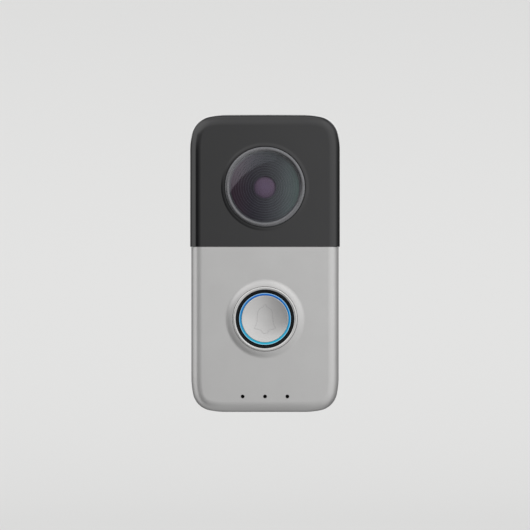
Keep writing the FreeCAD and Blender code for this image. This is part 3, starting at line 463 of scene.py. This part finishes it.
def polished_nickel():
    """The same metal, rubbed finer where fingers and the trim ring meet."""
    finish = Finish("polished_nickel", Metallic=0.62)
    finish.shade(finish.noise(9 * MM, 3.0), (0.4, 0.396, 0.392), (0.42, 0.416, 0.412))
    finish.roughness(finish.noise(2 * MM, 3.0), 0.2, 0.26)
    return finish.material


def bezel_metal():
    """Dark anodised metal with a turned surface."""
    finish = Finish("bezel_metal", Metallic=0.85)
    finish.shade(finish.noise(3 * MM), (0.118, 0.118, 0.124), (0.136, 0.137, 0.143))
    finish.roughness(finish.noise(0.3 * MM), 0.24, 0.34)
    return finish.material


def moulded(name, dark, light, grain=0.28 * MM, relief=0.018 * MM):
    """Spark-textured moulding, a little mottled."""
    finish = Finish(name, IOR=1.48)
    finish.shade(finish.noise(20 * MM, 4.0), dark, light)
    finish.roughness(finish.noise(0.8 * MM, 3.0), 0.5, 0.62)
    finish.bump(finish.noise(grain, 3.0), relief)
    finish.bump(finish.cells(grain * 1.7), relief / 2)
    return finish.material


def anti_glare_black():
    """Stepped black ring with painted reflections: violet on the left and grey-green on the right,
    with painted highlights on the step edges and a pale painted highlight round the rim.
    """
    finish = Finish("anti_glare_black", Roughness=0.5, IOR=1.4)
    reach = 14 * MM
    share = finish.spread(finish.axis("X"), LENS.x - reach, LENS.x + reach)
    # painted reflection: violet on the left, dark in the middle and grey-green on the right,
    # across X
    painted_reflection_tints = [
        (0.0, (0.12, 0.05, 0.09)),
        (0.3, (0.06, 0.05, 0.08)),
        (0.5, (0.075, 0.075, 0.1)),
        (0.7, (0.16, 0.18, 0.2)),
        (0.85, (0.25, 0.31, 0.315)),
        (1.0, (0.25, 0.37, 0.335)),
    ]
    painted_reflection = finish.ramp(share, painted_reflection_tints)
    radius = finish.radius(LENS)
    pitch = (BAFFLE_RIM - BAFFLE_HOLE) / BAFFLE_STEPS
    past_hole = finish.math("SUBTRACT", radius, BAFFLE_HOLE)
    step = finish.math("FRACT", finish.math("DIVIDE", past_hole, pitch))
    # painted highlight: a pale line along the edge of each step
    lines = finish.ramp(step, [(0.0, 1.0), (0.22, 0.0), (0.8, 0.0), (1.0, 1.0)])
    painted_reflection = finish.mix(lines, painted_reflection, finish.mix(1.0, painted_reflection, (0.2, 0.2, 0.225), "ADD"))
    # painted highlight: a pale bluish band round the ring's outer rim
    rim = finish.spread(radius, BAFFLE_RIM - 0.15 * MM, BAFFLE_RIM + 0.1 * MM)
    finish.colour(finish.mix(rim, painted_reflection, (0.5, 0.5, 0.54)))
    return finish.material


def cover_glass():
    """Smoked dome with an anti-reflection coat."""
    finish = Finish("cover_glass", Roughness=0.015, IOR=1.3, Transmission_Weight=1.0)
    finish.shade(finish.noise(9 * MM, 2.0), (0.135, 0.14, 0.145), (0.14, 0.145, 0.15))
    return finish.material


def coated_glass():
    """Front element whose coat's violet reflection is painted into its colour, brightest in the
    middle and dark at the rim.
    """
    finish = Finish("coated_glass", IOR=1.3, Transmission_Weight=0.3)
    share = finish.spread(finish.radius(LENS), 0.0, 5.4 * MM)
    # painted reflection: the coat's violet, brightest in the middle and dark at the rim
    painted_coat_reflection = [(0.0, (0.62, 0.42, 0.7)), (0.7, (0.55, 0.36, 0.58)), (0.95, (0.15, 0.14, 0.22))]
    finish.colour(finish.ramp(share, painted_coat_reflection))
    finish.roughness(finish.noise(2 * MM), 0.06, 0.12)
    return finish.material


def filter_glass():
    """Blue-green filter."""
    finish = Finish("filter_glass", Transmission_Weight=1.0)
    finish.shade(finish.noise(2 * MM), (0.33, 0.72, 0.78), (0.37, 0.77, 0.82))
    finish.roughness(finish.noise(1 * MM), 0.03, 0.07)
    return finish.material


def light_guide():
    """Milky ring lit from behind, blue above and cyan below, with pale edges, and painted shade,
    near black, on its sunk part.
    """
    finish = Finish("light_guide", Roughness=0.3, Emission_Strength=1.0, Specular_IOR_Level=0.15)
    low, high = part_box("light_ring")
    height = finish.spread(finish.axis("Z"), BUTTON.z - RING_OUTER, BUTTON.z + RING_OUTER)
    blues = [(0.05, (0.0, 0.32, 0.46)), (0.5, (0.0, 0.19, 0.42)), (0.95, (0.0, 0.095, 0.4))]
    core = finish.ramp(height, blues)
    across = finish.spread(finish.radius(BUTTON), RING_INNER, RING_OUTER)
    edge = finish.ramp(across, [(0.0, 0.2), (0.12, 0.0), (0.55, 0.0), (0.85, 0.45), (1.0, 0.85)])
    glow = finish.mix(edge, core, (0.42, 0.7, 0.88))
    # painted shade: the ring's sunk part, back from its front face, is near black and does not
    # glow
    painted_shade_sunk = finish.spread(finish.axis("Y"), low.y + 0.6 * MM, low.y + 0.9 * MM)
    glow = finish.mix(painted_shade_sunk, glow, (0.01, 0.01, 0.012))
    finish.link(glow, finish.shader.inputs["Emission Color"])
    finish.colour(finish.mix(0.12, (0.0, 0.0, 0.0), glow))
    return finish.material


def circuit_board():
    """Green solder mask over copper tracks, with tinned pads."""
    finish = Finish("circuit_board", IOR=1.5)
    tracks = finish.cells(1.6 * MM, "MANHATTAN")
    lines = finish.math("FRACT", finish.math("MULTIPLY", tracks, 3.0))
    greens = [(0.4, (0.006, 0.055, 0.025)), (0.5, (0.012, 0.12, 0.055)), (0.9, (0.01, 0.1, 0.045))]
    green = finish.ramp(lines, greens)
    dots = finish.cells(2.3 * MM)
    pads = finish.ramp(dots, [(0.1, 1.0), (0.13, 0.0)])
    finish.colour(finish.mix(pads, green, (0.62, 0.6, 0.55)))
    finish.roughness(finish.noise(1 * MM), 0.22, 0.34)
    finish.bump(lines, 0.02 * MM, 0.5)
    return finish.material


def fine_mesh():
    """Blackened woven wire."""
    finish = Finish("fine_mesh", Specular_IOR_Level=0.2)
    weave = finish.math("MAXIMUM", finish.wave("X", 0.16 * MM), finish.wave("Z", 0.16 * MM))
    finish.colour(finish.ramp(weave, [(0.5, 0.0005), (1.0, 0.004)]))
    finish.roughness(finish.noise(0.4 * MM), 0.4, 0.5)
    finish.bump(weave, 0.05 * MM)
    return finish.material


def ribbon_film():
    """Amber film with copper tracks along it."""
    finish = Finish("ribbon_film", IOR=1.6)
    tracks = finish.wave("X", 0.5 * MM)
    finish.colour(finish.ramp(tracks, [(0.35, (0.42, 0.2, 0.03)), (0.55, (0.62, 0.36, 0.1))]))
    finish.roughness(finish.noise(1 * MM), 0.2, 0.32)
    finish.bump(tracks, 0.01 * MM)
    return finish.material


def foam():
    """Closed-cell foam."""
    finish = Finish("grey_foam")
    bubbles = finish.cells(0.35 * MM)
    finish.colour(finish.ramp(bubbles, [(0.1, (0.03, 0.03, 0.033)), (0.6, (0.1, 0.1, 0.105))]))
    finish.roughness(finish.noise(1 * MM), 0.85, 0.95)
    finish.bump(bubbles, 0.12 * MM)
    return finish.material


def plain_finish(name, dark, light, rough, metallic=0.0, grain=2 * MM, relief=0.01 * MM):
    """A moulded, cast or rolled surface with a little unevenness."""
    finish = Finish(name, Metallic=metallic)
    finish.shade(finish.noise(grain * 4, 3.0), dark, light)
    finish.roughness(finish.noise(grain), rough - 0.06, rough + 0.06)
    finish.bump(finish.noise(grain / 3), relief)
    return finish.material


def make_finishes():
    """One material per slot of the record."""
    return {
        "smoked_plastic": smoked_plastic(),
        "satin_nickel": satin_nickel(),
        "polished_nickel": polished_nickel(),
        "bezel_metal": bezel_metal(),
        "black_plastic": moulded("black_plastic", (0.012, 0.012, 0.013), (0.017, 0.017, 0.018)),
        "dark_nylon": moulded(
            "dark_nylon", (0.028, 0.028, 0.03), (0.042, 0.042, 0.044), 0.5 * MM, 0.03 * MM
        ),
        "anti_glare_black": anti_glare_black(),
        "clear_glass": cover_glass(),
        "coated_glass": coated_glass(),
        "filter_glass": filter_glass(),
        "light_guide": light_guide(),
        "black_rubber": plain_finish("black_rubber", (0.008,) * 3, (0.012,) * 3, 0.7),
        "grey_silicone": plain_finish("grey_silicone", (0.4, 0.4, 0.43), (0.46, 0.46, 0.49), 0.6),
        "grey_foam": foam(),
        "adhesive_film": plain_finish("adhesive_film", (0.5, 0.46, 0.36), (0.56, 0.52, 0.42), 0.3),
        "steel": plain_finish(
            "steel", (0.5, 0.5, 0.51), (0.6, 0.6, 0.61), 0.32, 0.9, 3 * MM, 0.004 * MM
        ),
        "nickel_silver": plain_finish(
            "nickel_silver", (0.6, 0.59, 0.56), (0.68, 0.67, 0.64), 0.28, 0.9, 3 * MM, 0.004 * MM
        ),
        "brass": plain_finish(
            "brass", (0.66, 0.46, 0.18), (0.76, 0.56, 0.26), 0.28, 1.0, 0.8 * MM, 0.004 * MM
        ),
        "circuit_board": circuit_board(),
        "chip_resin": plain_finish("chip_resin", (0.02, 0.02, 0.022), (0.03, 0.03, 0.032), 0.5),
        "component_ceramic": plain_finish(
            "component_ceramic", (0.36, 0.27, 0.17), (0.48, 0.38, 0.26), 0.45
        ),
        "ribbon_film": ribbon_film(),
        "battery_wrap": plain_finish("battery_wrap", (0.05, 0.14, 0.34), (0.07, 0.18, 0.4), 0.3),
        "antenna_foil": plain_finish(
            "antenna_foil", (0.7, 0.52, 0.26), (0.8, 0.62, 0.34), 0.25, 1.0
        ),
        "lead_sleeve": plain_finish("lead_sleeve", (0.4, 0.03, 0.02), (0.5, 0.05, 0.04), 0.45),
        "orange_plastic": plain_finish(
            "orange_plastic", (0.75, 0.17, 0.01), (0.85, 0.22, 0.015), 0.35
        ),
        "fine_mesh": fine_mesh(),
        "lamp_resin": plain_finish("lamp_resin", (0.7, 0.7, 0.62), (0.85, 0.85, 0.78), 0.15),
    }


def dress_nodes(finishes):
    """Gives every CAD node the finish of its slot."""
    for name, piece in NODES.items():
        for slot in piece.material_slots:
            slot.material = finishes[SLOT_OF[name]]


# ---------------------------------------------------------------- bell mark

# the button cap's hollow, as in the CAD model
DISH_RIM = 9.65 * MM
DISH_SAG = 1.0 * MM
# radius of the mark's line
MARK_LINE = 0.03 * MM


def dish_depth(across, up):
    """Y of the button cap's hollow face at a place counted from its middle."""
    curve = (DISH_RIM**2 + DISH_SAG**2) / (2 * DISH_SAG)
    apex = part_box("button_cap")[0].y + DISH_SAG
    return apex - curve + math.sqrt(curve**2 - across**2 - up**2)


def arc(middle, radius, start, end, count):
    """Points on an arc; angles in degrees."""
    angles = [math.radians(start + (end - start) * k / (count - 1)) for k in range(count)]
    return [(middle[0] + radius * math.cos(a), middle[1] + radius * math.sin(a)) for a in angles]


def bell_outline():
    """Plain bell in millimetres about the cap's middle; its left half mirrors the right."""
    right = [
        *arc((0, 5.35), 0.65, 90, -20, 5),
        *arc((0.2, 2.0), 3.0, 75, 0, 7),
        (3.3, 0.0),
        (3.5, -1.7),
        *arc((6.1, -1.7), 2.5, 190, 225, 4),
        (4.6, -4.1),
        (2.2, -4.5),
        *arc((0, -4.6), 1.6, -5, -90, 6),
    ]
    left = [(-x, z) for x, z in reversed(right[1:-1])]
    return right + left


def bell_mark(finish):
    """Hair-fine raised line on the dished cap."""
    data = bpy.data.curves.new("bell_mark", "CURVE")
    data.dimensions, data.bevel_depth, data.bevel_resolution = "3D", MARK_LINE, 2
    outline = bell_outline()
    line = data.splines.new("NURBS")
    line.points.add(len(outline) - 1)
    for point, (x, z) in zip(line.points, outline):
        across, up = x * MM, z * MM
        point.co = (BUTTON.x + across, dish_depth(across, up) + MARK_LINE * 0.4, BUTTON.z + up, 1)
    line.order_u = 3
    line.use_cyclic_u = True
    line.resolution_u = 6
    data.materials.append(finish)
    mark = new_object("bell_mark", data)
    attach(mark, "button")


# ---------------------------------------------------------------- build


bpy.context.scene.view_settings.view_transform = "Standard"
make_camera()
make_world()
make_backdrop()
make_lights()
open_glass()
finishes = make_finishes()
dress_nodes(finishes)
bell_mark(finishes["bezel_metal"])
